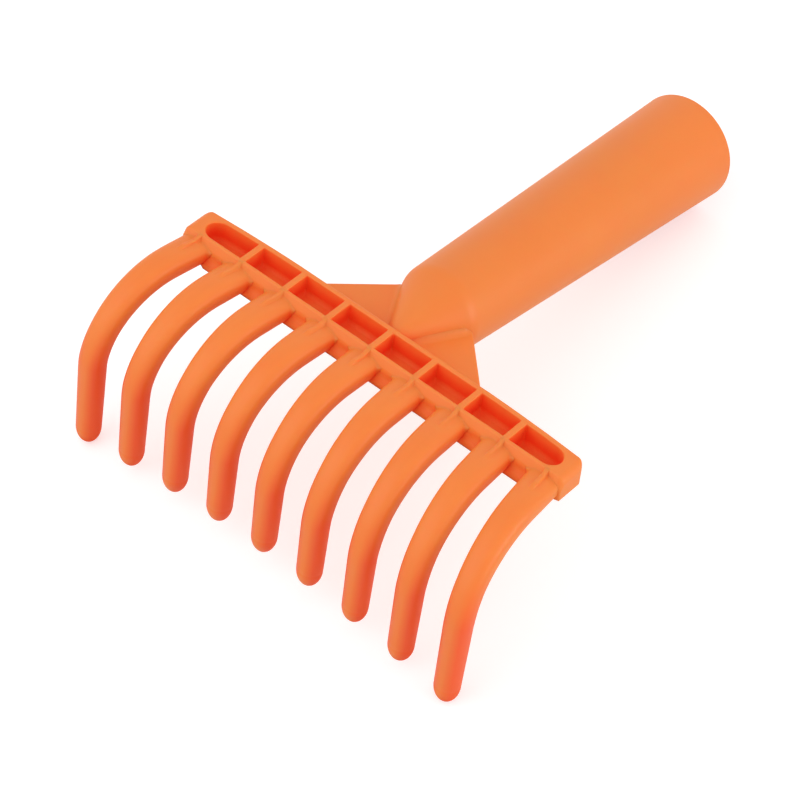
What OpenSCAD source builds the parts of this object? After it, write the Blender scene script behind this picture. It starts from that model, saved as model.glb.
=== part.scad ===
// Hand rake head with nine curved tines and a round socket for a pole.
// The real thing is one plastic moulding. Here it is split along its natural
// features, so that each crossbar wall, divider, tine and rib is its own solid.
// It is drawn level with the top of the crossbar, then tipped into its resting
// pose: the two outer tine tips and the socket's rim stand on z = 0.

/* [Crossbar] */
// Length of the crossbar, from end to end
bar_length = 125.4; // [110:0.2:145]
// Height of the crossbar
bar_height = 6.9; // [6.5:0.1:9]
// Clear width of the open pockets, front to back
pocket_width = 7.5; // [6:0.2:9]
// Thickness of the wall behind the pockets
rear_wall = 1.4; // [1:0.1:2.5]
// Flat lip between the pockets and the sloping front face
front_lip = 0.9; // [0.6:0.1:2]
// How far the front face and the ends lean out below the top
face_lean = 1.6; // [0.5:0.1:3]
// Height of the leaning part of the front face and the ends
face_drop = 2.4; // [1:0.1:3.5]
// Thickness of the pocket floor
pocket_floor = 1.4; // [1:0.1:2]
// Solid plastic beyond the end pockets
end_block = 4.3; // [3:0.1:8]
// Thickness of the flange between the tine roots
flange_thickness = 2.4; // [1.5:0.1:3]
// How far the flange reaches forward of the front face
flange_reach = 2; // [1:0.2:5]
// Radius of the crossbar's upright corners
bar_corner = 1.8; // [0.5:0.1:3]

/* [Dividers] */
// Number of dividers across the pockets
divider_count = 7; // [5:2:7]
// Thickness of a divider and of the rib in front of it
divider_thickness = 1.8; // [1.2:0.1:2.6]
// Reach of a rib along its tine, from the front lip
rib_reach = 7.6; // [4:0.2:10]
// Height of a rib's front end above the crown of its tine
rib_lift = 0.1; // [0.05:0.05:0.5]

/* [Tines] */
// Width of a tine at its root
root_width = 9.4; // [7:0.1:11]
// Width of a tine halfway along
middle_width = 7.6; // [6:0.1:10]
// Width of a tine at its tip
tip_width = 7; // [5:0.1:9]
// Depth of a tine at its root
root_depth = 6.1; // [5:0.1:9]
// Depth of a tine halfway along
middle_depth = 7.2; // [5:0.1:9]
// Depth of a tine at its tip
tip_depth = 6.6; // [5:0.1:9]
// Length of the rounded tip
tip_length = 5.4; // [3:0.1:8]
// Depth of the tine's centre line below the top of the crossbar
tine_sink = 3.75; // [3:0.05:6]
// Straight run from the front lip to the start of the curl
tine_run = 11; // [6:0.5:20]
// Radius of the curl, at the tine's centre line
curl_radius = 23.8; // [18:0.2:32]
// Angle through which a tine curls down
curl_angle = 87; // [70:1:90]
// Straight leg between the curl and the rounded tip on the middle tine
leg_length = 15.2; // [8:0.1:24]
// Extra length of the outermost tines
outer_extra = 5.8; // [0:0.5:10]
// Sideways spread of the outermost tips
tip_spread = 3.5; // [0:0.1:6]

/* [Socket] */
// Distance from the crossbar to the open end, along the socket
socket_length = 125; // [100:1:160]
// Diameter of the straight bore that a pole fits in
bore_diameter = 25.4; // [19:0.1:32]
// Depth of the straight bore
bore_depth = 45; // [30:1:80]
// Wall thickness at the open end
mouth_wall = 2.7; // [2:0.1:4]
// How much narrower the throat is outside than the bore
throat_step = 0.8; // [0:0.1:1.2]
// Wall thickness of the throat and the nose
socket_wall = 2; // [1.5:0.1:3]
// Length of the closed nose between the crossbar and the throat
nose_length = 17.5; // [12:0.5:25]
// Diameter of the nose where it meets the crossbar
nose_tip_diameter = 5; // [4:0.2:7]
// Angle at which the socket slopes down from the crossbar
socket_slope = 6; // [0:0.5:12]
// Depth of the socket's axis below the top of the crossbar
axis_sink = 4.2; // [3.5:0.1:5]
// Bevel round the mouth of the bore
mouth_bevel = 0.8; // [0.4:0.1:1.2]

/* [Neck plates] */
// Width across both neck plates at the crossbar
plate_span = 56; // [40:1:80]
// Depth of the plates' upper face below the top of the crossbar
plate_sink = 4.8; // [3:0.1:5]
// Thickness of the neck plates
plate_thickness = 2; // [1:0.1:2]
// Distance from the crossbar at which the plates run into the socket
plate_run = 16.5; // [10:0.5:25]

/* [Hidden] */
$fn = 64;
// Number of tines, one at each end and one below each divider
tine_count = divider_count + 2;
// Names of the pieces
plastic = "darkorange";
// How far a cut runs past the solid that it cuts
overrun = 1;

// Crossbar, seen from the side: y runs back to the socket and z = 0 is its top
lip_y = rear_wall + pocket_width + front_lip;
face_y = lip_y + face_lean;
flange_y = face_y + flange_reach;
pocket_depth = bar_height - pocket_floor;
pocket_row = bar_length - 2 * end_block;

// Tines
tine_pitch = (bar_length - root_width) / (tine_count - 1);
middle_tine = (tine_count - 1) / 2;
// Squareness of the tine's section: 2 is an ellipse and more is squarer
root_square = 2.8;
tip_square = 2;
section_sides = 20;
run_steps = 4;
curl_steps = 13;
leg_steps = 3;
cap_steps = 5;
curl_length = curl_radius * curl_angle * PI / 180;

// Socket, measured along its own axis from the crossbar
mouth_diameter = bore_diameter + 2 * mouth_wall;
throat_diameter = bore_diameter - throat_step;
nose_slope = (throat_diameter - nose_tip_diameter) / 2 / nose_length;
socket_taper = (mouth_diameter - throat_diameter) / 2 / (socket_length - nose_length);
bore_end = socket_length - bore_depth;

// Where the outermost tip's rounding and the rim's ends lie before tipping
middle_tip = [tine_y(tine_reach(0)), tine_z(tine_reach(0))];
outer_tip = middle_tip - outer_extra * [cos(curl_angle), sin(curl_angle)];
rim_centre = [socket_length * cos(socket_slope), -axis_sink - socket_length * sin(socket_slope)];
rim_low = rim_centre - mouth_diameter / 2 * [sin(socket_slope), cos(socket_slope)];
rim_high = rim_centre + mouth_diameter / 2 * [sin(socket_slope), cos(socket_slope)];
stand_drop = outer_tip.y - rim_low.y;
stand_span = rim_low.x - outer_tip.x;
// Angle that brings the outer tips and the rim onto one level
rough_pitch = stand_pitch(tip_length);
rest_pitch = stand_pitch(tip_overhang(curl_angle - rough_pitch));
floor_z = rim_low.y * cos(rest_pitch) - rim_low.x * sin(rest_pitch);
front_y = outer_tip.x * cos(rest_pitch)
    + outer_tip.y * sin(rest_pitch)
    - tip_overhang(90 - curl_angle + rest_pitch);
back_y = rim_high.x * cos(rest_pitch) + rim_high.y * sin(rest_pitch);

// How far the rounded tip reaches past the leg's end, in a direction at this angle to level
function tip_overhang(angle) = norm([tip_length * sin(angle), tip_depth / 2 * cos(angle)]);

// Angle at which the part stands on its tips and its rim, with the tips this long
function stand_pitch(overhang) =
    asin(overhang / norm([stand_drop, stand_span])) - atan2(stand_drop, stand_span);

// Share of the way out from the middle tine, from -1 to 1
function outward_share(i) = (i - middle_tine) / middle_tine;

// Distance along a tine from the front lip to the start of its rounded tip
function tine_reach(out) = tine_run + curl_length + leg_length + outer_extra * out * out;

// Slope of the tine at the distance u, in degrees below level
function tine_slope(u) = min(curl_angle, max(0, (u - tine_run) / curl_radius * 180 / PI));

// Place of the tine's centre line at the distance u
function tine_y(u) =
    -lip_y
    - min(u, tine_run)
    - curl_radius * sin(tine_slope(u))
    - max(0, u - tine_run - curl_length) * cos(curl_angle);
function tine_z(u) =
    -tine_sink
    - curl_radius * (1 - cos(tine_slope(u)))
    - max(0, u - tine_run - curl_length) * sin(curl_angle);
function tine_x(out, u) =
    let (share = u / tine_reach(out))
    out * (middle_tine * tine_pitch + tip_spread * share * (2 - share));

// A size that changes evenly from root to middle and from middle to tip
function along(share, root, middle, tip) =
    share < 0.5
        ? root + (middle - root) * share * 2
        : middle + (tip - middle) * (share - 0.5) * 2;

// Signed power, for a section between an ellipse and a rectangle
function bulge(v, square) = sign(v) * pow(abs(v), 2 / square);

// Distances at which the tine's rings lie
function tine_stations(out) =
    let (leg_start = tine_run + curl_length)
    concat(
        [for (k = [0:run_steps - 1]) tine_run * k / run_steps],
        [for (k = [0:curl_steps - 1]) tine_run + curl_length * k / curl_steps],
        [for (k = [0:leg_steps]) leg_start + (tine_reach(out) - leg_start) * k / leg_steps]
    );

// One ring of the tine's skin, pushed on and shrunk where the tip is rounded
function tine_ring(out, u, push, shrink) =
    let (
        share = u / tine_reach(out),
        half_width = along(share, root_width, middle_width, tip_width) / 2 * shrink,
        half_depth = along(share, root_depth, middle_depth, tip_depth) / 2 * shrink,
        square = root_square + (tip_square - root_square) * share,
        slope = tine_slope(u),
        centre = [tine_x(out, u), tine_y(u), tine_z(u)] - push * [0, cos(slope), sin(slope)]
    )
    [for (k = [0:section_sides - 1])
        let (a = 360 * k / section_sides)
        centre
        + [half_width * bulge(cos(a), square), 0, 0]
        + half_depth * bulge(sin(a), square) * [0, -sin(slope), cos(slope)]];

function tine_rings(out) =
    let (reach = tine_reach(out))
    concat(
        [for (u = tine_stations(out)) tine_ring(out, u, 0, 1)],
        [for (k = [1:cap_steps - 1])
            let (a = 90 * k / cap_steps)
            tine_ring(out, reach, tip_length * sin(a), cos(a))]
    );

// Skin of one whole tine, from inside the crossbar to the tip
module tine_skin(i) {
    out = outward_share(i);
    reach = tine_reach(out);
    rings = tine_rings(out);
    ring_count = len(rings);
    tip = [tine_x(out, reach), tine_y(reach), tine_z(reach)]
        - tip_length * [0, cos(tine_slope(reach)), sin(tine_slope(reach))];
    root = [tine_x(out, 0), tine_y(0), tine_z(0)];
    points = concat([for (ring = rings) each ring], [tip, root]);
    tip_index = ring_count * section_sides;
    root_index = tip_index + 1;
    faces = concat(
        [for (r = [0:ring_count - 2], k = [0:section_sides - 1])
            let (a = r * section_sides + k, b = r * section_sides + (k + 1) % section_sides)
            each [[a, b + section_sides, b], [a, a + section_sides, b + section_sides]]],
        [for (k = [0:section_sides - 1])
            let (first = (ring_count - 1) * section_sides)
            [first + (k + 1) % section_sides, first + k, tip_index]],
        [for (k = [0:section_sides - 1]) [k, (k + 1) % section_sides, root_index]]
    );
    polyhedron(points, faces);
}

// Runs a side view (y, z) along the crossbar between x = -length / 2 and length / 2
module along_bar(length) {
    translate([-length / 2, 0, 0])
        rotate([90, 0, 90])
            linear_extrude(length)
                children();
}

// A bar with rounded upright corners between the top and the underside
module rounded_bar() {
    width = bar_length - 2 * bar_corner;
    translate([0, 0, -bar_height])
        linear_extrude(bar_height) {
            translate([-width / 2, -face_y])
                square([width, face_y]);
            translate([-bar_length / 2, bar_corner - face_y])
                square([bar_length, face_y - 2 * bar_corner]);
            for (x = [-width / 2, width / 2], y = [-bar_corner, bar_corner - face_y])
                translate([x, y])
                    circle(bar_corner);
        }
}

// Crossbar before its pockets are sunk, with its front and both ends leaning out below the top
module bar_block() {
    intersection() {
        rounded_bar();
        along_bar(bar_length)
            polygon([
                [0, 0],
                [0, -bar_height],
                [-face_y, -bar_height],
                [-face_y, -face_drop],
                [-lip_y, 0]
            ]);
        rotate([90, 0, 0])
            linear_extrude(face_y)
                polygon([
                    [face_lean - bar_length / 2, 0],
                    [-bar_length / 2, -face_drop],
                    [-bar_length / 2, -bar_height],
                    [bar_length / 2, -bar_height],
                    [bar_length / 2, -face_drop],
                    [bar_length / 2 - face_lean, 0]
                ]);
    }
    translate([-middle_tine * tine_pitch, -flange_y, -bar_height])
        cube([2 * middle_tine * tine_pitch, flange_reach + face_lean, flange_thickness]);
}

// One long slot with round ends, which the dividers split into pockets
module pocket_slot() {
    radius = pocket_width / 2;
    straight = pocket_row - pocket_width;
    translate([0, -rear_wall - radius, -pocket_depth])
        linear_extrude(pocket_depth + overrun) {
            square([straight, pocket_width], center = true);
            for (side = [-1, 1])
                translate([side * straight / 2, 0])
                    circle(radius);
        }
}

// Puts a shape on the socket's axis, with its z running from the crossbar to the mouth
module on_socket_axis() {
    translate([0, 0, -axis_sink])
        rotate([-90 - socket_slope, 0, 0])
            children();
}

// Everything in front of the crossbar's rear face
module front_side() {
    size = 2 * throat_diameter;
    translate([-size / 2, -size, -size / 2 - axis_sink])
        cube(size);
}

module nose_body() {
    difference() {
        on_socket_axis()
            translate([0, 0, -overrun])
                cylinder(
                    h = nose_length + overrun,
                    d1 = nose_tip_diameter - 2 * overrun * nose_slope,
                    d2 = throat_diameter
                );
        front_side();
    }
}

module socket_body() {
    on_socket_axis()
        translate([0, 0, nose_length])
            cylinder(h = socket_length - nose_length, d1 = throat_diameter, d2 = mouth_diameter);
}

// Tips the level drawing into its resting pose, centred over the floor
module at_rest() {
    translate([0, -(front_y + back_y) / 2, -floor_z])
        rotate([-rest_pitch, 0, 0])
            children();
}

// Channel with a rear wall, a leaning front wall, a floor, two end blocks and a
// flange that ties the tine roots together
module crossbar() {
    color(plastic)
        at_rest()
            difference() {
                bar_block();
                pocket_slot();
            }
}

// Thin wall across the channel, above the root of a tine
module pocket_divider(i) {
    color(plastic)
        at_rest()
            translate([
                outward_share(i) * middle_tine * tine_pitch - divider_thickness / 2,
                -rear_wall - pocket_width,
                -pocket_depth
            ])
                cube([divider_thickness, pocket_width, pocket_depth]);
}

// Curved tine with a rounded tip, cut off at the crossbar's face and flange
module tine(i) {
    color(plastic)
        at_rest()
            difference() {
                tine_skin(i);
                bar_block();
            }
}

// Low rib that carries a divider on over the front face and fades into the tine
module tine_rib(i) {
    end_share = rib_reach / tine_reach(0);
    crown = along(end_share, root_depth, middle_depth, tip_depth) / 2 - tine_sink;
    color(plastic)
        at_rest()
            difference() {
                translate([outward_share(i) * middle_tine * tine_pitch, 0, 0])
                    along_bar(divider_thickness)
                        polygon([
                            [-lip_y, 0],
                            [-face_y, -face_drop],
                            [-face_y, -tine_sink],
                            [-lip_y - rib_reach, -tine_sink],
                            [-lip_y - rib_reach, crown + rib_lift]
                        ]);
                tine_skin(i);
            }
}

// Flat web between the crossbar and one side of the socket: side is -1 or 1
module neck_plate(side) {
    color(plastic)
        at_rest()
            difference() {
                translate([0, 0, -plate_sink - plate_thickness])
                    linear_extrude(plate_thickness)
                        polygon([
                            [0, 0],
                            [side * plate_span / 2, 0],
                            [side * throat_diameter / 2, plate_run],
                            [0, plate_run]
                        ]);
                nose_body();
                socket_body();
            }
}

// Hollow closed nose that narrows from the socket to the crossbar
module socket_nose() {
    color(plastic)
        at_rest()
            difference() {
                nose_body();
                on_socket_axis()
                    translate([0, 0, socket_wall])
                        cylinder(
                            h = nose_length - socket_wall + overrun,
                            d1 = nose_tip_diameter + 2 * socket_wall * (nose_slope - 1),
                            d2 = throat_diameter - 2 * socket_wall + 2 * overrun * nose_slope
                        );
            }
}

// Tapered round tube with a straight bore for a pole and a shoulder that stops it
module handle_socket() {
    shoulder_diameter = throat_diameter + 2 * (bore_end - nose_length) * socket_taper - 2 * socket_wall;
    color(plastic)
        at_rest()
            difference() {
                socket_body();
                on_socket_axis() {
                    translate([0, 0, nose_length - overrun])
                        cylinder(
                            h = bore_end - nose_length + overrun,
                            d1 = throat_diameter - 2 * socket_wall - 2 * overrun * socket_taper,
                            d2 = shoulder_diameter
                        );
                    translate([0, 0, bore_end])
                        cylinder(h = bore_depth + overrun, d = bore_diameter);
                    translate([0, 0, socket_length - mouth_bevel])
                        cylinder(
                            h = mouth_bevel + overrun,
                            d1 = bore_diameter,
                            d2 = bore_diameter + 2 * (mouth_bevel + overrun)
                        );
                }
            }
}

crossbar();
for (i = [1:divider_count]) {
    pocket_divider(i);
}
for (i = [1:tine_count]) {
    tine(i - 1);
    tine_rib(i - 1);
}
neck_plate(-1);  // neck_plate_left
neck_plate(1);  // neck_plate_right
socket_nose();
handle_socket();
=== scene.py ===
from math import atan2, copysign, cos, hypot, pi, radians, sin, sqrt

import bpy
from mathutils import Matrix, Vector


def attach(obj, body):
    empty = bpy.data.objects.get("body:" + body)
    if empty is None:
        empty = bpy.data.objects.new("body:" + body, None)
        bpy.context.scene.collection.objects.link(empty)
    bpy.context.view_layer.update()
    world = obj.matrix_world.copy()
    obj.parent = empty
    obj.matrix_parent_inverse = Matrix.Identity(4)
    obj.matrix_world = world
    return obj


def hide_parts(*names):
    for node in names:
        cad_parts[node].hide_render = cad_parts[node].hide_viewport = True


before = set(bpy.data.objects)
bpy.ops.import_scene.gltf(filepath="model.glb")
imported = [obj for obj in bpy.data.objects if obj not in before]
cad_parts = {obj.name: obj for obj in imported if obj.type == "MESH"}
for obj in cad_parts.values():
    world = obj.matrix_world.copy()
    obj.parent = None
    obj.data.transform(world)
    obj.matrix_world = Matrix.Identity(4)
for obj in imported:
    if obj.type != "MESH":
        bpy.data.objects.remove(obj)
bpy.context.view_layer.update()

# Camera: stands where the photographer stood, in front of the rake's right end and
# above it, with a long lens. It is level, as the rake rests on a table.
MM = 0.001
VIEW_AIM = Vector((10.2, -45.0, 35.7)) * MM
VIEW_AZIMUTH = radians(41.013)
VIEW_ELEVATION = radians(51.585)
VIEW_DISTANCE = 806 * MM
VIEW_LENS = 145.08
SENSOR_WIDTH = 36
NEAR_CLIP = 0.05
FAR_CLIP = 50

toward_camera = Vector((
    sin(VIEW_AZIMUTH) * cos(VIEW_ELEVATION),
    -cos(VIEW_AZIMUTH) * cos(VIEW_ELEVATION),
    sin(VIEW_ELEVATION),
))
bpy.ops.object.select_all(action="DESELECT")
bpy.ops.object.camera_add(location=VIEW_AIM + toward_camera * VIEW_DISTANCE)
camera = bpy.context.object
camera.name = "photo_camera"
camera.rotation_euler = (-toward_camera).to_track_quat("-Z", "Y").to_euler()
camera.data.lens = VIEW_LENS
camera.data.sensor_width = SENSOR_WIDTH
camera.data.clip_start = NEAR_CLIP
camera.data.clip_end = FAR_CLIP
bpy.context.scene.camera = camera

# Crossbar: a channel with a leaning front, split into eight open pockets by dividers, in
# orange polypropylene and moulded in one shot with the rest of the rake. It is drawn
# level, in millimetres, with its top at z = 0 and its rear at y = 0, and then set down.
BAR_LENGTH = 125.4
BAR_HEIGHT = 6.9
END_ROUNDING = 2.2
END_FRONT_SHARE = 0.35
BOW = 1.45
BOW_START = 25
BOW_CUTS = (32, 36, 40, 48.5, 51.5)
LIP_CLEARANCE = 0.1
REAR_WALL = 1.4
LIP_Y = -9.8
FACE_Y = -11.4
FACE_DROP = 2.4
FLANGE_Y = -13.4
FLANGE_THICKNESS = 2.4
FLANGE_FILLET = 1.0
FLANGE_FALL = 1.3
FLANGE_TAPER = 5
POCKET_FRONT = -8.9
POCKET_DEPTH = 5.5
POCKET_ROW = 116.8
POCKET_DRAFT = 0.15
POCKET_FILLET = 1.2
REAR_DRAFT = 0.6
DIVIDER = 1.8
TINE_COUNT = 9
TINE_PITCH = 14.5
OUTER_TINE = (TINE_COUNT - 1) / 2 * TINE_PITCH
EDGE_ROUNDING = 0.4
FACE_ROUNDING = 0.8
END_CORNER_PULL = 0.8
END_STEPS = 9
ROUND_END_STEPS = 18
ROUNDING_STEPS = 5
FLANGE_STEPS = 6
EDGE_STEPS = 4
SHARP_EDGE = radians(25)
TOUCH = 0.01
LONG_EDGE = 1
SEAM_MERGE = 0.02
STRAIGHT = 0.99
REST_TILT = -radians(6.80178)
REST_PLACE = Vector((0, -35.2423, 46.885)) * MM


def only(piece):
    """Makes the piece the one selected and active object."""
    bpy.ops.object.select_all(action="DESELECT")
    piece.select_set(True)
    bpy.context.view_layer.objects.active = piece
    return piece


def place_applied(piece):
    """Moves the object's place, turn and size into its mesh."""
    only(piece)
    bpy.ops.object.transform_apply(location=True, rotation=True, scale=True)
    return piece


def block(name, low, high):
    """A block between two corners."""
    bpy.ops.object.select_all(action="DESELECT")
    bpy.ops.mesh.primitive_cube_add(size=1, location=(Vector(low) + Vector(high)) / 2)
    piece = bpy.context.object
    piece.name = name
    piece.scale = Vector(high) - Vector(low)
    return place_applied(piece)


def pick_edges(piece, wanted):
    """Opens the piece in edit mode with the edges selected whose two ends are wanted."""
    only(piece)
    bpy.ops.object.mode_set(mode="EDIT")
    bpy.ops.mesh.select_mode(type="EDGE")
    bpy.ops.mesh.select_all(action="DESELECT")
    bpy.ops.object.mode_set(mode="OBJECT")
    for edge in piece.data.edges:
        a, b = (piece.data.vertices[i].co for i in edge.vertices)
        edge.select = wanted(a, b)
    bpy.ops.object.mode_set(mode="EDIT")


def pick_faces(piece, wanted):
    """Opens the piece in edit mode with the faces selected whose centre is wanted."""
    only(piece)
    bpy.ops.object.mode_set(mode="EDIT")
    bpy.ops.mesh.select_mode(type="FACE")
    bpy.ops.mesh.select_all(action="DESELECT")
    bpy.ops.object.mode_set(mode="OBJECT")
    for face in piece.data.polygons:
        face.select = wanted(face.center, face.normal)
    bpy.ops.object.mode_set(mode="EDIT")


def round_edges(piece, wanted, radius, steps=ROUNDING_STEPS):
    pick_edges(piece, wanted)
    bpy.ops.mesh.bevel(offset=radius, segments=steps)
    bpy.ops.object.mode_set(mode="OBJECT")


def split_faces(piece, wanted, point, normal):
    """Splits the wanted faces where a plane crosses them."""
    pick_faces(piece, wanted)
    bpy.ops.mesh.bisect(plane_co=point, plane_no=normal)
    bpy.ops.object.mode_set(mode="OBJECT")


def move_points(piece, wanted, place):
    for vertex in piece.data.vertices:
        if wanted(vertex.co):
            vertex.co = place(vertex.co.copy())


def weigh_normals(piece):
    """Lets the large faces lead the shading of the narrow ones beside them."""
    modifier = piece.modifiers.new("weighted_normal", "WEIGHTED_NORMAL")
    only(piece)
    bpy.ops.object.modifier_apply(modifier=modifier.name)


def set_down(piece):
    """Turns the level drawing in millimetres into the rake at rest, in metres."""
    piece.scale = (MM, MM, MM)
    piece.rotation_euler = (REST_TILT, 0, 0)
    piece.location = REST_PLACE
    return place_applied(piece)


def fillet(distance, radius):
    """How far a fillet of this radius stands out at a distance from the wall."""
    reach = radius - min(max(distance, 0), radius)
    return radius - sqrt(radius * radius - reach * reach)


def tine_x(i):
    return (i - (TINE_COUNT - 1) / 2) * TINE_PITCH


def everywhere(c, n):
    return True


def on_front(c, n):
    return n.y < -STRAIGHT


def on_line(y, z, *points):
    """Whether the points lie on the line along the bar at this depth and height."""
    return all(hypot(p.y - y, p.z - z) < TOUCH for p in points)


half_bar = BAR_LENGTH / 2
half_row = POCKET_ROW / 2
flange_top = FLANGE_THICKNESS - BAR_HEIGHT
flange_edge = flange_top - FLANGE_FALL
pocket_middle = -(REAR_WALL - POCKET_FRONT) / 2
round_end = (-REAR_WALL - POCKET_FRONT) / 2
round_start = half_row - round_end

crossbar = block("moulded_crossbar", (-half_bar, FACE_Y, -BAR_HEIGHT), (half_bar, 0, 0))
# the front leans out from the lip down to FACE_DROP
split_faces(crossbar, on_front, (0, 0, -FACE_DROP), (0, 0, 1))
move_points(
    crossbar,
    lambda p: p.z > -TOUCH and p.y < FACE_Y + TOUCH,
    lambda p: Vector((p.x, LIP_Y, 0)),
)
for y, z, radius in (
    (0, 0, EDGE_ROUNDING),
    (LIP_Y, 0, EDGE_ROUNDING),
    (FACE_Y, -FACE_DROP, FACE_ROUNDING),
):
    round_edges(crossbar, lambda a, b: on_line(y, z, a, b), radius)
round_edges(
    crossbar,
    lambda a, b: max(a.z, b.z) < TOUCH - BAR_HEIGHT and abs(a.x - b.x) < TOUCH,
    EDGE_ROUNDING,
)


def end_drop(x):
    """How far the rounding of the bar's end has fallen away at this distance out."""
    return fillet(half_bar - abs(x), END_ROUNDING)


def pillowed(p):
    """Draws the top, the rear and, less, the front in toward a rounded end."""
    drop = end_drop(p.x)
    near_corner = hypot(p.y, p.z) < EDGE_ROUNDING + TOUCH
    corner = 1 + drop * END_CORNER_PULL / EDGE_ROUNDING if near_corner else 1
    y, z = p.y * corner, p.z * corner
    rear = 1 - y / FACE_Y
    height = 1 + z / BAR_HEIGHT
    inward = drop * rear - drop * END_FRONT_SHARE * (1 - rear)
    return Vector((p.x, y - inward, z - drop * height))


# the ends are rounded from above and in plan, like a pillow
for k in range(END_STEPS):
    x = half_bar - END_ROUNDING * (1 - sin(pi / 2 * k / END_STEPS))
    for side in (-1, 1):
        split_faces(crossbar, everywhere, (side * x, 0, 0), (1, 0, 0))
move_points(crossbar, lambda p: abs(p.x) > half_bar - END_ROUNDING, pillowed)

# flange that ties the tine roots together, with a wide fillet on top
split_faces(crossbar, on_front, (0, 0, flange_top), (0, 0, 1))
for x in (-OUTER_TINE, OUTER_TINE):
    split_faces(crossbar, lambda c, n: on_front(c, n) and c.z < flange_top, (x, 0, 0), (1, 0, 0))
pick_faces(
    crossbar,
    lambda c, n: on_front(c, n) and c.z < flange_top and abs(c.x) < OUTER_TINE,
)
bpy.ops.mesh.extrude_region_move(TRANSFORM_OT_translate={"value": (0, FLANGE_Y - FACE_Y, 0)})
bpy.ops.object.mode_set(mode="OBJECT")
# its top slopes and its ends run out inside the outer tines
move_points(
    crossbar,
    lambda p: p.y < FLANGE_Y + TOUCH,
    lambda p: Vector((p.x - copysign(FLANGE_TAPER, p.x), p.y, min(p.z, flange_edge))),
)
for y, z in ((FACE_Y, flange_top), (FLANGE_Y, flange_edge)):
    round_edges(
        crossbar,
        lambda a, b: on_line(y, z, a, b)
        and abs(a.x - b.x) > LONG_EDGE
        and max(abs(a.x), abs(b.x)) < OUTER_TINE + TOUCH,
        FLANGE_FILLET,
        FLANGE_STEPS,
    )


def on_top(c, n):
    return n.z > STRAIGHT and c.z > -TOUCH


def in_row(c, n):
    return on_top(c, n) and abs(c.x) < half_row and POCKET_FRONT < c.y < -REAR_WALL


# outlines of the pockets on the top, the outer two with a round outer end
for x in (-half_row, half_row):
    split_faces(crossbar, on_top, (x, 0, 0), (1, 0, 0))
for y in (-REAR_WALL, POCKET_FRONT):
    split_faces(
        crossbar,
        lambda c, n: on_top(c, n) and abs(c.x) < half_row,
        (0, y, 0),
        (0, 1, 0),
    )
for i in range(1, TINE_COUNT - 1):
    for side in (-1, 1):
        split_faces(crossbar, in_row, (tine_x(i) + side * DIVIDER / 2, 0, 0), (1, 0, 0))
for x in (-round_start, round_start):
    split_faces(crossbar, in_row, (x, 0, 0), (1, 0, 0))
for k in range(1, ROUND_END_STEPS):
    y = pocket_middle + round_end * cos(pi * k / ROUND_END_STEPS)
    split_faces(
        crossbar,
        lambda c, n: in_row(c, n) and abs(c.x) > round_start,
        (0, y, 0),
        (0, 1, 0),
    )

# the pockets themselves, with round outer ends and a little narrower at the floor
dividers = [tine_x(i) for i in range(1, TINE_COUNT - 1)]
pick_faces(
    crossbar,
    lambda c, n: in_row(c, n) and min(abs(c.x - x) for x in dividers) > DIVIDER / 2,
)
bpy.ops.mesh.extrude_region_move(TRANSFORM_OT_translate={"value": (0, 0, -POCKET_DEPTH)})
bpy.ops.mesh.dissolve_faces()
bpy.ops.object.mode_set(mode="OBJECT")


def in_depth(p):
    """Whether a point lies between the pockets' front and rear outlines."""
    return POCKET_FRONT - TOUCH < p.y < TOUCH - REAR_WALL


def on_round_end(p):
    across = sqrt(max(round_end**2 - (p.y - pocket_middle) ** 2, 0))
    return Vector((copysign(round_start + across, p.x), p.y, p.z))


move_points(crossbar, lambda p: abs(abs(p.x) - half_row) < TOUCH and in_depth(p), on_round_end)
only(crossbar)
bpy.ops.object.mode_set(mode="EDIT")
bpy.ops.mesh.select_all(action="SELECT")
bpy.ops.mesh.remove_doubles(threshold=SEAM_MERGE)
bpy.ops.object.mode_set(mode="OBJECT")


def on_pocket_floor(p):
    return abs(p.z + POCKET_DEPTH) < TOUCH and in_depth(p)


def drafted(p):
    """Draws a point of a pocket's floor in, as the pocket narrows downward."""
    x, y = p.x, p.y
    if abs(x) > round_start + TOUCH:
        shrink = 1 - POCKET_DRAFT / round_end
        x = copysign(round_start + (abs(x) - round_start) * shrink, x)
    for divider in dividers:
        if abs(abs(x - divider) - DIVIDER / 2) < TOUCH:
            x = x + copysign(POCKET_DRAFT, x - divider)
    draft = REAR_DRAFT if y > pocket_middle else POCKET_DRAFT
    return Vector((x, pocket_middle + (y - pocket_middle) * (1 - draft / round_end), p.z))


move_points(crossbar, on_pocket_floor, drafted)
round_edges(
    crossbar,
    lambda a, b: on_pocket_floor(a) and on_pocket_floor(b),
    POCKET_FILLET,
)


def bowed(p):
    """Bows the rear wall forward toward the bar's ends, as it shrank in the mould."""
    out = (abs(p.x) - BOW_START) / (half_bar - BOW_START)
    share = (p.y - POCKET_FRONT) / (-REAR_WALL - POCKET_FRONT)
    return Vector((p.x, p.y - BOW * out * out * min(max(share, 0), 1), p.z))


def behind_lip(c, n):
    return c.y > POCKET_FRONT + LIP_CLEARANCE


for x in BOW_CUTS:
    for side in (-1, 1):
        split_faces(crossbar, behind_lip, (side * x, 0, 0), (1, 0, 0))
move_points(crossbar, lambda p: abs(p.x) > BOW_START, bowed)

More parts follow.
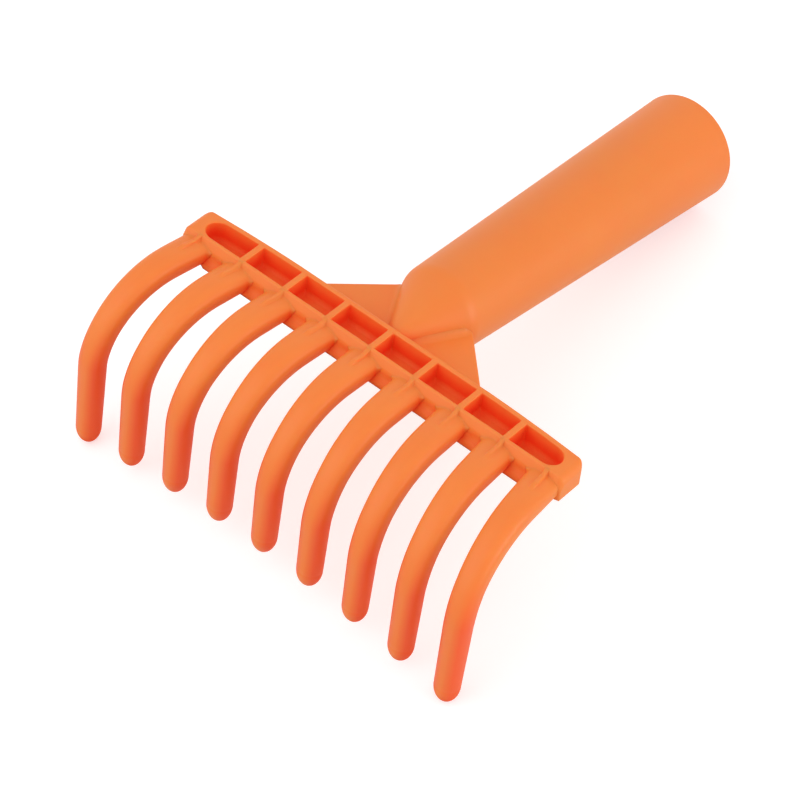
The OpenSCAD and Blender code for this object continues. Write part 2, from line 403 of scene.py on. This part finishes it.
# every edge that is still sharp, apart from the last bit of the ends' rounding
only(crossbar)
bpy.ops.object.mode_set(mode="EDIT")
bpy.ops.mesh.select_mode(type="EDGE")
bpy.ops.mesh.select_all(action="DESELECT")
bpy.ops.mesh.edges_select_sharp(sharpness=SHARP_EDGE)
bpy.ops.object.mode_set(mode="OBJECT")
for edge in crossbar.data.edges:
    outward = [abs(crossbar.data.vertices[i].co.x) for i in edge.vertices]
    if min(outward) > half_bar - EDGE_ROUNDING:
        edge.select = False
bpy.ops.object.mode_set(mode="EDIT")
bpy.ops.mesh.bevel(offset=EDGE_ROUNDING, segments=EDGE_STEPS, loop_slide=False)
bpy.ops.object.mode_set(mode="OBJECT")
bpy.ops.object.shade_smooth()
weigh_normals(crossbar)
set_down(crossbar)

PLASTIC_LIGHT = (0.945, 0.238, 0.031, 1)
PLASTIC_DARK = (0.93, 0.22, 0.026, 1)
# painted shade: deeper, redder colours that stand in for shade and red bounce light in pockets,
# recesses and between the legs
PAINTED_SHADE = (0.95, 0.07, 0.002, 1)
PAINTED_POCKET_SHADE = (0.92, 0.055, 0.001, 1)
PLASTIC_IOR = 1.49
GLOW_SHARE = 0.35
GLOW_SPREAD = (1, 0.25, 0.08)
GLOW_REACH = 4 * MM
GRAIN_DETAIL = 4
GRAIN_STRENGTH = 0.15
GRAIN_DEPTH = 0.02 * MM
GRAIN_TO_THE_METRE = 2600
FLOW_DETAIL = 3
FLOW_RANGE = (0.3, 0.7)
FLOW_TO_THE_METRE = 60
SATIN = (0.4, 0.48)
RECESS_REACH = 14 * MM
RECESS_SAMPLES = 12
RECESS_OPEN = (0.25, 0.7)
RECESS_ROUGH = (0.3, 0.85)
RECESS_ROUGHENING = (1.9, 1)
# heights and depths over which the painted shade comes in: in the pockets, behind the lip,
# before the rear wall and low on the legs
POCKET_DARKENS = (-0.8 * MM, -4.5 * MM)
LIP_DARKENS = ((POCKET_FRONT - 0.5) * MM, POCKET_FRONT * MM)
REAR_DARKENS = (-2 * MM, -5 * MM)
LEG_PAINTED_SHADE_HEIGHTS = (-9 * MM, -24 * MM)
LEGS_BEGIN = ((FLANGE_Y - 4) * MM, FLANGE_Y * MM)
LEG_SIDE = (0.1, 0.75)
LEG_SIDE_PAINTED_SHARE = (0.14, 0.78)


def plastic_surface():
    """Satin grain and flow marks of polypropylene, and painted shade: deeper reds in recesses,
    in the pockets and on the legs' facing sides.
    """
    group = bpy.data.node_groups.new("moulded_grain_and_painted_shade", "ShaderNodeTree")
    sockets = group.interface
    sockets.new_socket("Grain Size", in_out="INPUT", socket_type="NodeSocketFloat")
    sockets.new_socket("Flow Size", in_out="INPUT", socket_type="NodeSocketFloat")
    sockets.new_socket("Color", in_out="OUTPUT", socket_type="NodeSocketColor")
    sockets.new_socket("Roughness", in_out="OUTPUT", socket_type="NodeSocketFloat")
    sockets.new_socket("Height", in_out="OUTPUT", socket_type="NodeSocketFloat")
    nodes, links = group.nodes, group.links
    given = nodes.new("NodeGroupInput")
    result = nodes.new("NodeGroupOutput")
    place = nodes.new("ShaderNodeTexCoord")

    def noise(scale_socket, detail):
        texture = nodes.new("ShaderNodeTexNoise")
        texture.inputs["Detail"].default_value = detail
        links.new(place.outputs["Object"], texture.inputs["Vector"])
        links.new(given.outputs[scale_socket], texture.inputs["Scale"])
        return texture.outputs["Fac"]

    def span(value, given_range, range_put_out=(0, 1)):
        ramp = nodes.new("ShaderNodeMapRange")
        ramp.inputs["From Min"].default_value = given_range[0]
        ramp.inputs["From Max"].default_value = given_range[1]
        ramp.inputs["To Min"].default_value = range_put_out[0]
        ramp.inputs["To Max"].default_value = range_put_out[1]
        links.new(value, ramp.inputs["Value"])
        return ramp.outputs["Result"]

    def blend(factor, first, second):
        mix = nodes.new("ShaderNodeMix")
        mix.data_type = "RGBA"
        links.new(factor, mix.inputs["Factor"])
        for socket, color in (("A", first), ("B", second)):
            if isinstance(color, tuple):
                mix.inputs[socket].default_value = color
            else:
                links.new(color, mix.inputs[socket])
        return mix.outputs["Result"]

    def parts_of(vector):
        separate = nodes.new("ShaderNodeSeparateXYZ")
        links.new(vector, separate.inputs["Vector"])
        return separate.outputs

    def product(first, second):
        multiply = nodes.new("ShaderNodeMath")
        multiply.operation = "MULTIPLY"
        links.new(first, multiply.inputs[0])
        links.new(second, multiply.inputs[1])
        return multiply.outputs["Value"]

    flow = noise("Flow Size", FLOW_DETAIL)
    grain = noise("Grain Size", GRAIN_DETAIL)
    tint = blend(span(flow, FLOW_RANGE), PLASTIC_DARK, PLASTIC_LIGHT)
    # the level drawing's own axes, to tell how deep a place lies in a pocket, for the painted
    # pocket shade
    level = nodes.new("ShaderNodeMapping")
    level.vector_type = "TEXTURE"
    level.inputs["Location"].default_value = REST_PLACE
    level.inputs["Rotation"].default_value = (REST_TILT, 0, 0)
    links.new(place.outputs["Object"], level.inputs["Vector"])
    drawn = parts_of(level.outputs["Vector"])
    depth = span(drawn["Z"], POCKET_DARKENS)
    after_lip = span(drawn["Y"], LIP_DARKENS)
    before_rear = span(drawn["Y"], REAR_DARKENS)
    pocket = product(product(depth, after_lip), before_rear)
    # painted shade: places that ambient occlusion finds closed are painted the shade colours,
    # deepest in the pockets
    recess = nodes.new("ShaderNodeAmbientOcclusion")
    recess.samples = RECESS_SAMPLES
    recess.inputs["Distance"].default_value = RECESS_REACH
    openness = span(recess.outputs["AO"], RECESS_OPEN)
    shade = blend(pocket, PAINTED_SHADE, PAINTED_POCKET_SHADE)
    # painted shade: the legs' sides that face their neighbours are painted redder, low down most
    # of all, for the shade and red bounce light between them
    low = span(drawn["Z"], LEG_PAINTED_SHADE_HEIGHTS)
    among_legs = span(drawn["Y"], LEGS_BEGIN, (1, 0))
    sideways = nodes.new("ShaderNodeMath")
    sideways.operation = "ABSOLUTE"
    links.new(parts_of(place.outputs["Normal"])["X"], sideways.inputs[0])
    beside = span(sideways.outputs["Value"], LEG_SIDE, LEG_SIDE_PAINTED_SHARE)
    tint = blend(product(product(low, among_legs), beside), tint, PAINTED_SHADE)
    links.new(blend(openness, shade, tint), result.inputs["Color"])
    satin = span(flow, FLOW_RANGE, SATIN)
    rougher = span(recess.outputs["AO"], RECESS_ROUGH, RECESS_ROUGHENING)
    links.new(product(rougher, satin), result.inputs["Roughness"])
    links.new(grain, result.inputs["Height"])
    return group


def plastic(name, flow_size):
    """Orange plastic with its own flow marks, this many to the metre, and painted shade in its
    recesses.
    """
    material = bpy.data.materials.new(name)
    material.use_nodes = True
    nodes, links = material.node_tree.nodes, material.node_tree.links
    shader = nodes["Principled BSDF"]
    surface = nodes.new("ShaderNodeGroup")
    surface.node_tree = moulded_grain_and_painted_shade
    surface.inputs["Grain Size"].default_value = GRAIN_TO_THE_METRE
    surface.inputs["Flow Size"].default_value = flow_size
    bump = nodes.new("ShaderNodeBump")
    bump.inputs["Strength"].default_value = GRAIN_STRENGTH
    bump.inputs["Distance"].default_value = GRAIN_DEPTH
    links.new(surface.outputs["Color"], shader.inputs["Base Color"])
    links.new(surface.outputs["Roughness"], shader.inputs["Roughness"])
    links.new(surface.outputs["Height"], bump.inputs["Height"])
    links.new(bump.outputs["Normal"], shader.inputs["Normal"])
    shader.inputs["IOR"].default_value = PLASTIC_IOR
    shader.inputs["Subsurface Weight"].default_value = GLOW_SHARE
    shader.inputs["Subsurface Radius"].default_value = GLOW_SPREAD
    shader.inputs["Subsurface Scale"].default_value = GLOW_REACH
    return material


moulded_grain_and_painted_shade = plastic_surface()
bar_plastic = plastic("bar_plastic", FLOW_TO_THE_METRE)
crossbar.data.materials.append(bar_plastic)
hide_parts("crossbar", *[f"pocket_divider_{i}" for i in range(1, TINE_COUNT - 1)])
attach(crossbar, "root")

# Tines: nine curved fingers of the same shot, rounded bars that leave the crossbar
# level, curl down and end in a blunt tip. Each carries its divider's line on as a low rib
# that fades out. The outer ones are longer, and all of them fan out slightly.
TINE_SINK = 3.75
TINE_RUN = 11
CURL_RADIUS = 23.8
CURL_ANGLE = radians(87)
LEG_LENGTH = 15.2
OUTER_EXTRA = 5.8
ROOT_INSET = 0.75
INSET_POWER = 0.6
TIP_SPREAD = 3.4
SPREAD_END = 0.66
SPREAD_POWER = 1.3
TIP_LENGTH = 5.38
TINE_WIDTHS = (9.4, 7.25, 7)
TINE_DEPTHS = (6.1, 7.2, 6.6)
ROOT_SQUARE = 3
ROOT_DROP = 0.7
ROOT_DROP_LENGTH = 10
TIP_SQUARE = 2
ROOT_FILLET = 0.9
ROOT_BURIED = 0.7
BURIED_SHRINK = 0.95
FLARE_START = (-0.4, 0.3)
FLARE_END = (0.35, 0.8)
BAND_SLOPE = 20
BAND_TUCK = 0.2
BAND_MELT = 0.7
BAND_MELT_LEAST = 0.1
BAND_DROP_SHARE = 1.5
MELT_FADE = (3.5, 1.2)
RIB_LENGTH = 7.4
RIB_END = 1.6
RIB_HEIGHT = 0.62
RIB_FALL = 0.3
RIB_FLAT = 0.5
RIB_SIDE = 0.78
RIB_SINK = 0.012
RIB_INSET_POWER = 5
TIP_RING_DEPTH = 0.05
TIP_RING_WIDTH = 0.25
TIP_LAST_SHARE = 0.001
ROOT_STEPS = 18
ROOT_STEP = 0.2
RUN_STEPS = 10
CURL_STEPS = 36
LEG_STEPS = 12
TIP_STEPS = 14
# a quarter of the outline: its points up the side by height, then over the crown by width
SIDE_SHARES = (0, 0.15, 0.3, 0.45, 0.57, 0.66)
CROWN_SHARES = (0.66, 0.57, 0.47, 0.36, 0.26, 0.2, 0.175, 0.155, 0.135, 0.115, 0.06, 0)
QUARTER = len(SIDE_SHARES) + len(CROWN_SHARES)
CURL_LENGTH = CURL_RADIUS * CURL_ANGLE


def ring_tube(name, sides, count):
    """A circle extruded along X, one ring to the unit, with its last ring at count - 1."""
    bpy.ops.object.select_all(action="DESELECT")
    bpy.ops.mesh.primitive_circle_add(vertices=sides, radius=1, rotation=(0, pi / 2, 0))
    tube = bpy.context.object
    tube.name = name
    place_applied(tube)
    bpy.ops.object.mode_set(mode="EDIT")
    bpy.ops.mesh.select_mode(type="EDGE")
    bpy.ops.mesh.select_all(action="SELECT")
    for _ in range(count - 1):
        bpy.ops.mesh.extrude_region_move(TRANSFORM_OT_translate={"value": (1, 0, 0)})
    bpy.ops.object.mode_set(mode="OBJECT")
    return tube


def close_end(tube, x):
    pick_edges(tube, lambda a, b: max(abs(a.x - x), abs(b.x - x)) < TOUCH)
    bpy.ops.mesh.edge_face_add()
    bpy.ops.object.mode_set(mode="OBJECT")


def shape_rings(tube, place):
    """Sends each point of a ring tube to its place, by its ring and its angle."""
    for vertex in tube.data.vertices:
        vertex.co = place(round(vertex.co.x), atan2(vertex.co.z, vertex.co.y))
    only(tube)
    bpy.ops.object.mode_set(mode="EDIT")
    bpy.ops.mesh.select_all(action="SELECT")
    bpy.ops.mesh.normals_make_consistent(inside=False)
    bpy.ops.object.mode_set(mode="OBJECT")
    bpy.ops.object.shade_smooth()


def along(share, sizes):
    """A size that changes evenly from root to middle and from middle to tip."""
    root, middle, tip = sizes
    if share < 0.5:
        return root + (middle - root) * share * 2
    return middle + (tip - middle) * (share - 0.5) * 2


def outline_shares(angle, square):
    """Shares of half width and half height of the outline point that has this angle."""
    step = round(angle / (pi / 2) * QUARTER) % (4 * QUARTER)
    turn, rest = divmod(step, QUARTER)
    k = rest if turn % 2 == 0 else QUARTER - rest
    if k < len(SIDE_SHARES):
        high = SIDE_SHARES[k]
        wide = (1 - high**square) ** (1 / square)
    elif k > len(SIDE_SHARES):
        wide = CROWN_SHARES[k - len(SIDE_SHARES) - 1]
        high = (1 - wide**square) ** (1 / square)
    else:
        wide = high = 0.5 ** (1 / square)
    return (wide if turn in (0, 3) else -wide), (high if turn in (0, 1) else -high)


def eased(value, low, high):
    """Rises smoothly from 0 at low to 1 at high."""
    t = min(max((value - low) / (high - low), 0), 1)
    return t * t * (3 - 2 * t)


def melted(a, b, reach):
    """The higher of two heights, with the corner between them filled."""
    near = max(reach - abs(a - b), 0) / reach
    return max(a, b) + near * near * reach / 4


def face_height(y):
    """Height of the crossbar's leaning and upright front at this depth."""
    if y > FACE_Y:
        return min((y - LIP_Y) * FACE_DROP / (LIP_Y - FACE_Y), 0)
    return -FACE_DROP - (FACE_Y - y) * BAND_SLOPE


def tine_stations(reach):
    """Distance from the front lip, push beyond it and shrink of every ring of a tine."""
    run_start = ROOT_STEPS * ROOT_STEP
    run = TINE_RUN - run_start
    leg_start = TINE_RUN + CURL_LENGTH
    leg = reach - leg_start - 2 * TIP_RING_WIDTH
    stations = [(-ROOT_BURIED, 0, BURIED_SHRINK)]
    stations += [(k * ROOT_STEP, 0, 1) for k in range(ROOT_STEPS)]
    stations += [(run_start + run * k / RUN_STEPS, 0, 1) for k in range(RUN_STEPS)]
    stations += [(TINE_RUN + CURL_LENGTH * k / CURL_STEPS, 0, 1) for k in range(CURL_STEPS)]
    stations += [(leg_start + leg * k / LEG_STEPS, 0, 1) for k in range(LEG_STEPS + 1)]
    stations.append((reach - TIP_RING_WIDTH, 0, 1 - 2 * TIP_RING_DEPTH / TINE_WIDTHS[2]))
    for k in range(TIP_STEPS + 1):
        a = pi / 2 * k / TIP_STEPS
        stations.append((reach, TIP_LENGTH * sin(a), max(cos(a), TIP_LAST_SHARE)))
    return stations


def tine_point(out, reach, station, angle):
    """A point of a tine's skin, for a tine this far out from the middle one."""
    s, push, shrink = station
    share = max(s, 0) / reach
    inset = copysign(ROOT_INSET * abs(out) ** INSET_POWER, out)
    spread = 1 - (1 - min(share / SPREAD_END, 1)) ** SPREAD_POWER
    bend = min(max((s - TINE_RUN) / CURL_RADIUS, 0), CURL_ANGLE)
    leg = max(s - TINE_RUN - CURL_LENGTH, 0) + push
    middle = Vector((
        out * OUTER_TINE - inset + (TIP_SPREAD * out + inset) * spread,
        LIP_Y - min(s, TINE_RUN) - CURL_RADIUS * sin(bend) - leg * cos(bend),
        -TINE_SINK - CURL_RADIUS * (1 - cos(bend)) - leg * sin(bend),
    ))
    wide, high = outline_shares(angle, ROOT_SQUARE + (TIP_SQUARE - ROOT_SQUARE) * share)
    across = along(share, TINE_WIDTHS) / 2 * shrink * wide
    up = along(share, TINE_DEPTHS) / 2 * shrink * high
    up -= ROOT_DROP * (1 - eased(s, 0, ROOT_DROP_LENGTH)) * max(high, 0)
    point = middle + Vector((across, -up * sin(bend), up * cos(bend)))
    # the root melts into the crossbar: its sides flare and its crown runs up the band
    face_y = LIP_Y - (LIP_Y - FACE_Y) * min(-point.z / FACE_DROP, 1)
    flare = fillet(face_y - point.y, ROOT_FILLET) * eased(high, *FLARE_START)
    inside = 1 - eased(abs(point.x), half_bar - MELT_FADE[0], half_bar - MELT_FADE[1])
    point.x += flare * inside * wide * (1 - eased(high, *FLARE_END))
    if high > 0 and s < TINE_RUN:
        band = face_height(point.y) - BAND_TUCK - BAND_DROP_SHARE * end_drop(point.x)
        melt = BAND_MELT_LEAST + (BAND_MELT - BAND_MELT_LEAST) * inside
        point.z = melted(point.z, band, melt)
    # the rib falls from the lip to the crown, runs along it and sinks into it
    crown = middle.z + along(share, TINE_DEPTHS) / 2
    crown -= ROOT_DROP * (1 - eased(s, 0, ROOT_DROP_LENGTH))
    rib_top = crown + RIB_HEIGHT * (1 - eased(s, RIB_LENGTH - RIB_END, RIB_LENGTH))
    rib_top = max(rib_top, -RIB_SINK - RIB_FALL * max(s, 0))
    if high > 0 and s < RIB_LENGTH and rib_top > point.z:
        from_rib = abs(point.x - middle.x - inset + out**RIB_INSET_POWER * ROOT_INSET)
        point.z += (rib_top - point.z) * (1 - eased(from_rib, RIB_FLAT, RIB_SIDE))
    return point


tine_plastic = plastic("tine_plastic", FLOW_TO_THE_METRE)
ring_count = len(tine_stations(2 * (TINE_RUN + CURL_LENGTH)))
tine_blank = ring_tube("tine_blank", 4 * QUARTER, ring_count)
close_end(tine_blank, 0)
close_end(tine_blank, ring_count - 1)
for i in range(TINE_COUNT):
    out = tine_x(i) / OUTER_TINE
    reach = TINE_RUN + CURL_LENGTH + LEG_LENGTH + OUTER_EXTRA * out * out
    stations = tine_stations(reach)
    tine = tine_blank.copy()
    tine.data = tine_blank.data.copy()
    tine.name = f"curved_tine_{i + 1}"
    bpy.context.collection.objects.link(tine)
    shape_rings(tine, lambda ring, angle: tine_point(out, reach, stations[ring], angle))
    set_down(tine)
    tine.data.materials.append(tine_plastic)
    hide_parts(f"tine_{i + 1}", f"tine_rib_{i + 1}")
    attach(tine, "root")
bpy.data.objects.remove(tine_blank)

# Socket: a slightly flared round tube that a pole pushes into, with a shoulder inside
# that stops it. Its front end closes to a cone that runs into the crossbar. Same shot,
# its bore left by a core that is drawn out of the open end.
SOCKET_SLOPE = radians(6)
AXIS_SINK = 4.2
NOSE_LENGTH = 17.5
SOCKET_LENGTH = 125
NOSE_TIP = 2.5
THROAT = 12.3
MOUTH = 15.4
BORE = 12.7
BORE_END = 80
SHOULDER = 12.1
SHOULDER_ROUNDING = 0.2
# along the axis and out from it, from the shoulder to the closed nose
HOLLOW = ((60, 11.52), (40, 10.95), (20, 10.37), (17.5, 10.3), (12, 7.0), (6, 3.85), (2, 1.62))
BORE_RINGS = (5, 20)
NOSE_BURIED = 1
MOUTH_BEVEL = 0.8
RIM_ROUNDING = 0.4
RIM_STEPS = 5
NOSE_BLEND = 7
NOSE_STEPS = 12
BLEND_STEPS = 14
BARREL_STEPS = 30
SOCKET_FLOW = 45
SOCKET_SIDES = 128


def arc(centre, radius, start, end, steps):
    """Points of an arc in the (along the axis, out from it) plane."""
    return [
        (
            centre[0] + radius * cos(start + (end - start) * k / steps),
            centre[1] + radius * sin(start + (end - start) * k / steps),
        )
        for k in range(steps + 1)
    ]


def straight(start, end, ks, steps):
    """Points on the line from start to end, at these of its steps."""
    return [
        (
            start[0] + (end[0] - start[0]) * k / steps,
            start[1] + (end[1] - start[1]) * k / steps,
        )
        for k in ks
    ]


nose_angle = atan2(THROAT - NOSE_TIP, NOSE_LENGTH)
tube_angle = atan2(MOUTH - THROAT, SOCKET_LENGTH - NOSE_LENGTH)
nose_growth = (THROAT - NOSE_TIP) / NOSE_LENGTH
half_turn = (nose_angle - tube_angle) / 2
setback = NOSE_BLEND * sin(half_turn) / cos(half_turn)
blend_start = (NOSE_LENGTH - setback * cos(nose_angle), THROAT - setback * sin(nose_angle))
blend_centre = (
    blend_start[0] + NOSE_BLEND * sin(nose_angle),
    blend_start[1] - NOSE_BLEND * cos(nose_angle),
)
profile = [(-NOSE_BURIED, NOSE_TIP - NOSE_BURIED * nose_growth)]
profile += straight((0, NOSE_TIP), blend_start, range(NOSE_STEPS), NOSE_STEPS)
profile += arc(
    blend_centre, NOSE_BLEND, pi / 2 + nose_angle, pi / 2 + tube_angle, BLEND_STEPS
)
rim_side = (SOCKET_LENGTH - RIM_ROUNDING, MOUTH)
rim_centre = (rim_side[0], MOUTH - RIM_ROUNDING)
bevel_centre = (SOCKET_LENGTH - MOUTH_BEVEL, BORE + MOUTH_BEVEL)
profile += straight(profile[-1], rim_side, range(1, BARREL_STEPS), BARREL_STEPS)
profile += arc(rim_centre, RIM_ROUNDING, pi / 2, 0, RIM_STEPS)
profile += arc(bevel_centre, MOUTH_BEVEL, 0, -pi / 2, RIM_STEPS)
profile += [(SOCKET_LENGTH - t, BORE) for t in BORE_RINGS]
profile += [(BORE_END + SHOULDER_ROUNDING, BORE), (BORE_END, BORE - SHOULDER_ROUNDING)]
profile += [
    (BORE_END, SHOULDER + SHOULDER_ROUNDING / 2),
    (BORE_END - SHOULDER_ROUNDING / 2, SHOULDER),
]
profile += HOLLOW

socket = ring_tube("moulded_socket", SOCKET_SIDES, len(profile))
close_end(socket, 0)
close_end(socket, len(profile) - 1)


def socket_point(ring, angle):
    """Leans the turned profile down from the crossbar, as the tube hangs on it."""
    t, r = profile[ring]
    up = r * sin(angle)
    return Vector((
        r * cos(angle),
        t * cos(SOCKET_SLOPE) + up * sin(SOCKET_SLOPE),
        -AXIS_SINK - t * sin(SOCKET_SLOPE) + up * cos(SOCKET_SLOPE),
    ))


shape_rings(socket, socket_point)
weigh_normals(socket)
set_down(socket)
socket_plastic = plastic("socket_plastic", SOCKET_FLOW)
socket.data.materials.append(socket_plastic)
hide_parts("handle_socket", "socket_nose")
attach(socket, "root")

# Neck plates: flat webs, one on each side, that brace the socket's nose against the
# crossbar. A moulded fillet runs along the nose.
PLATE_TOP = -4.5
PLATE_THICKNESS = 2
PLATE_HALF_SPAN = 29.2
PLATE_RUN = 16.5
PLATE_FILLET = 1.5
PLATE_ROUNDING = 0.35
PLATE_OVERLAP = 0.5
PLATE_BURIED = 0.8
FILLET_LIMIT = 0.95
FILLET_ROUNDS = 6
FILLET_START = 2
FILLET_ROOM = 3
PLATE_COLUMNS = 48
PLATE_ROWS = 60


def nose_half_width(y, z):
    """Half width of the nose where a level plane at z cuts it."""
    t = y / cos(SOCKET_SLOPE)
    r = NOSE_TIP + nose_growth * t if t < NOSE_LENGTH else THROAT
    rise = z + AXIS_SINK + t * sin(SOCKET_SLOPE)
    return sqrt(max(r * r - rise * rise, 0))


def plate_point(p):
    """Fans the plate out from the nose to its slanting edge, fillets and rounds it."""
    edge = PLATE_HALF_SPAN + (THROAT - PLATE_HALF_SPAN) * p.y / PLATE_RUN
    middle = PLATE_TOP - PLATE_THICKNESS / 2
    upward = copysign(1, p.z - middle)
    inner = max(nose_half_width(p.y, p.z) - PLATE_BURIED, 0)
    x = inner + (edge - inner) * eased(p.x, 0, 1)
    lift = 0
    for _ in range(FILLET_ROUNDS):
        nose = nose_half_width(p.y, p.z + upward * lift)
        rise = fillet((x - nose) * cos(nose_angle), PLATE_FILLET)
        fade = min(p.y / FILLET_START, (edge - nose) / FILLET_ROOM, 1)
        lift = min(rise, PLATE_FILLET * FILLET_LIMIT) * fade
    slant = PLATE_RUN / hypot(PLATE_HALF_SPAN - THROAT, PLATE_RUN)
    drop = fillet((edge - x) * slant, PLATE_ROUNDING)
    return Vector((x, p.y, p.z + upward * (lift - drop)))


for side, side_name in ((-1, "left"), (1, "right")):
    plate = block(
        f"moulded_neck_{side_name}",
        (0, -PLATE_OVERLAP, PLATE_TOP - PLATE_THICKNESS),
        (1, PLATE_RUN, PLATE_TOP),
    )
    for k in range(1, PLATE_COLUMNS):
        split_faces(plate, everywhere, (k / PLATE_COLUMNS, 0, 0), (1, 0, 0))
    for k in range(1, PLATE_ROWS):
        split_faces(plate, everywhere, (0, PLATE_RUN * k / PLATE_ROWS, 0), (0, 1, 0))
    for vertex in plate.data.vertices:
        x, y, z = plate_point(vertex.co)
        vertex.co = (side * x, y, z)
    if side < 0:
        only(plate)
        bpy.ops.object.mode_set(mode="EDIT")
        bpy.ops.mesh.select_all(action="SELECT")
        bpy.ops.mesh.flip_normals()
        bpy.ops.object.mode_set(mode="OBJECT")
    only(plate)
    bpy.ops.object.shade_smooth()
    weigh_normals(plate)
    set_down(plate)
    plate.data.materials.append(bar_plastic)
    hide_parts(f"neck_plate_{side_name}")
    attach(plate, "root")

# Studio: a white table with the rake's soft shadow on it, one soft lamp low on the right,
# a larger one high at the front left, and an even white surround.
TABLE_SIZE = 6
TABLE_TONE = 0.7
TABLE_ROUGHNESS = 0.9
TABLE_GLOW = 0.5
TABLE_MIRRORED = 0.25
LAMP_DISTANCE = 1.2
SURROUND_LIGHT = 0.78
WHITE = (1, 1, 1, 1)

bpy.ops.object.select_all(action="DESELECT")
bpy.ops.mesh.primitive_plane_add(size=TABLE_SIZE)
floor = bpy.context.object
floor.name = "white_table"
table_white = bpy.data.materials.new("table_white")
table_white.use_nodes = True
nodes, links = table_white.node_tree.nodes, table_white.node_tree.links
paint = nodes["Principled BSDF"]
paint.inputs["Base Color"].default_value = (TABLE_TONE, TABLE_TONE, TABLE_TONE, 1)
paint.inputs["Roughness"].default_value = TABLE_ROUGHNESS
glow = nodes.new("ShaderNodeEmission")
seen = nodes.new("ShaderNodeLightPath")
both = nodes.new("ShaderNodeAddShader")
mirrored = nodes.new("ShaderNodeMath")
mirrored.operation = "MULTIPLY"
mirrored.inputs[1].default_value = TABLE_MIRRORED
links.new(seen.outputs["Is Glossy Ray"], mirrored.inputs[0])
strength = nodes.new("ShaderNodeMath")
strength.operation = "MULTIPLY_ADD"
strength.inputs[1].default_value = TABLE_GLOW
links.new(seen.outputs["Is Camera Ray"], strength.inputs[0])
links.new(mirrored.outputs["Value"], strength.inputs[2])
links.new(strength.outputs["Value"], glow.inputs["Strength"])
links.new(paint.outputs["BSDF"], both.inputs[0])
links.new(glow.outputs["Emission"], both.inputs[1])
links.new(both.outputs["Shader"], nodes["Material Output"].inputs["Surface"])
floor.data.materials.append(table_white)

for name, direction, size, energy in (
    ("key_softbox", (1, 0.2, 0.2), 0.7, 4.4),
    ("front_softbox", (-0.45, -0.8, 0.8), 1.2, 3.4),
):
    direction = Vector(direction).normalized()
    bpy.ops.object.light_add(type="AREA", location=direction * LAMP_DISTANCE)
    lamp = bpy.context.object
    lamp.name = name
    lamp.rotation_euler = direction.to_track_quat("Z", "Y").to_euler()
    lamp.data.shape = "SQUARE"
    lamp.data.size = size
    lamp.data.energy = energy

world = bpy.data.worlds.new("white_surround")
bpy.context.scene.world = world
world.use_nodes = True
nodes, links = world.node_tree.nodes, world.node_tree.links
surround = nodes["Background"]
surround.inputs["Color"].default_value = WHITE
surround.inputs["Strength"].default_value = SURROUND_LIGHT
backdrop = nodes.new("ShaderNodeBackground")
backdrop.inputs["Color"].default_value = WHITE
seen = nodes.new("ShaderNodeLightPath")
looked_at = nodes.new("ShaderNodeMath")
looked_at.operation = "MAXIMUM"
links.new(seen.outputs["Is Camera Ray"], looked_at.inputs[0])
links.new(seen.outputs["Is Glossy Ray"], looked_at.inputs[1])
either = nodes.new("ShaderNodeMixShader")
links.new(looked_at.outputs["Value"], either.inputs["Fac"])
links.new(surround.outputs["Background"], either.inputs[1])
links.new(backdrop.outputs["Background"], either.inputs[2])
links.new(either.outputs["Shader"], nodes["World Output"].inputs["Surface"])
bpy.context.scene.view_settings.view_transform = "Standard"
